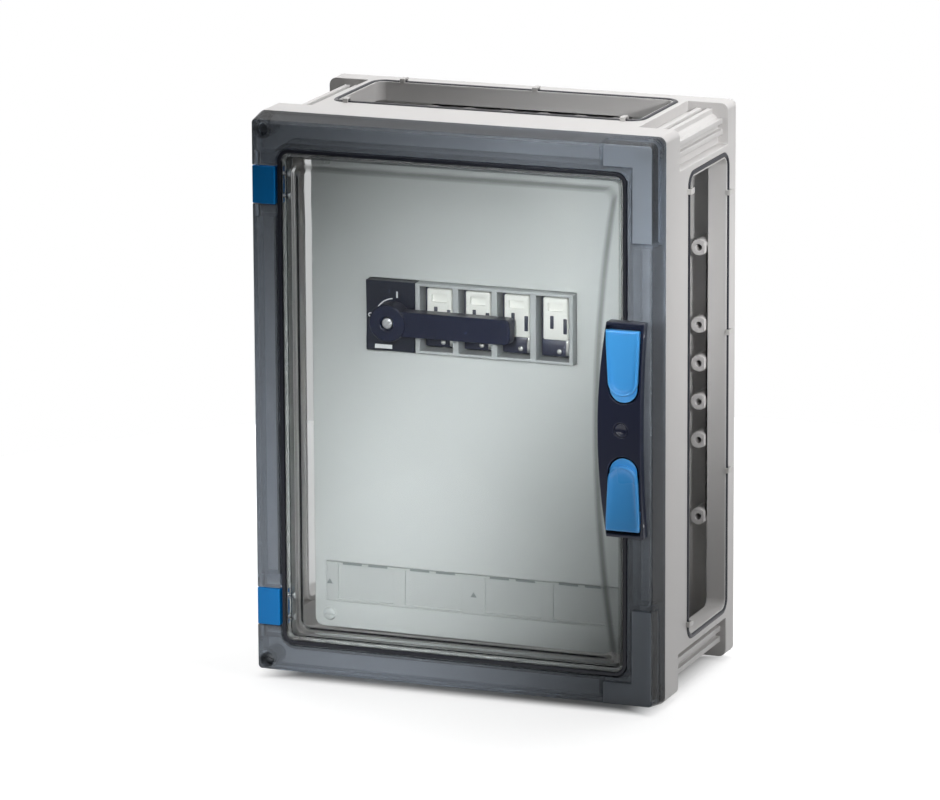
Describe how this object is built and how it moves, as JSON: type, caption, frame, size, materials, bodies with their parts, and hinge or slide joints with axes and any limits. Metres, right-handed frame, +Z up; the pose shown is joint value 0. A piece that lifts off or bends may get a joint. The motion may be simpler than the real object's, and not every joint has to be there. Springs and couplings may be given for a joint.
{
  "type": "dc combiner box",
  "caption": "Wall-mounted plastic combiner enclosure with a see-through hinged door, blue latches, open wall flanges and a fused rotary switch behind an inner cover.",
  "frame": {"origin": "centre of the rear mounting face", "axes": "+Y into the wall, so the front looks along -Y; +X to the right seen from the front; +Z up"},
  "size_m": [0.2752, 0.16, 0.3652],
  "materials": {
    "light_grey_plastic": "fine satin",
    "cover_grey_plastic": "fine satin",
    "smoke_tinted_plastic": "gloss, see-through smoke tint",
    "clear_tinted_plastic": "gloss, see-through light tint",
    "black_rubber": "matte",
    "blue_plastic": "satin",
    "navy_plastic": "satin",
    "black_plastic": "satin",
    "red_plastic": "satin",
    "fuse_ceramic": "glazed ceramic",
    "steel": "zinc plated",
    "silvered_metal": "silver plated",
    "copper": "bare copper",
    "brass": "bright"
  },
  "bodies": {
    "enclosure": {"housing": "light_grey_plastic", "wall_seal_top": "black_rubber", "wall_seal_bottom": "black_rubber", "wall_seal_left": "black_rubber", "wall_seal_right": "black_rubber", "seal_clips": "light_grey_plastic", "rim_seal": "black_rubber", "front_frame": "smoke_tinted_plastic", "frame_screws": "steel", "corner_cap_upper": "smoke_tinted_plastic", "corner_cap_lower": "smoke_tinted_plastic", "hinge_pin_upper": "steel", "hinge_pin_lower": "steel", "device_cover": "cover_grey_plastic", "cover_screws": "light_grey_plastic", "blanking_strip": "cover_grey_plastic", "mounting_rail": "steel", "rail_screws": "steel", "switch_base": "black_plastic", "mechanism_case": "black_plastic", "bay_frame": "cover_grey_plastic", "fuse_bodies": "fuse_ceramic", "fuse_blades": "silvered_metal", "fuse_jaws": "silvered_metal", "line_terminals": "brass", "load_terminals": "brass", "line_terminal_screws": "steel", "load_terminal_screws": "steel", "positive_busbar": "copper", "negative_busbar": "copper", "contact_decks": "red_plastic", "fixed_contacts": "copper", "earth_bar": "brass", "earth_bar_screws": "steel"},
    "handle": {"handle_lever": "black_plastic", "handle_screw": "steel", "switch_shaft": "steel", "rotor_contacts": "copper"},
    "door": {"door_pane": "clear_tinted_plastic", "door_seal": "black_rubber", "handle_plate": "navy_plastic", "plate_screws": "steel", "hinge_leaf_upper": "blue_plastic", "hinge_leaf_lower": "blue_plastic", "leaf_screws": "steel", "latch_pin_upper": "steel", "latch_pin_lower": "steel", "latch_spring_upper": "steel", "latch_spring_lower": "steel", "lock_plug": "navy_plastic"},
    "latch_upper": {"latch_paddle_upper": "blue_plastic"},
    "latch_lower": {"latch_paddle_lower": "blue_plastic"}
  },
  "joints": [
    {"name": "door_hinge", "type": "hinge", "parent": "enclosure", "child": "door", "pos_m": [-0.1295, -0.147, 0], "axis": [0, 0, -1], "range_deg": [0, 120]},
    {"name": "latch_upper_pivot", "type": "hinge", "parent": "door", "child": "latch_upper", "pos_m": [0.116, -0.1549, 0.06], "axis": [-1, 0, 0], "range_deg": [0, 40], "stiffness_Nm_per_rad": 0.01},
    {"name": "latch_lower_pivot", "type": "hinge", "parent": "door", "child": "latch_lower", "pos_m": [0.116, -0.1549, -0.06], "axis": [1, 0, 0], "range_deg": [0, 40], "stiffness_Nm_per_rad": 0.01},
    {"name": "switch_handle", "type": "hinge", "parent": "enclosure", "child": "handle", "pos_m": [-0.0497, -0.12, 0.0493], "axis": [0, 1, 0], "range_deg": [0, 90]}
  ]
}
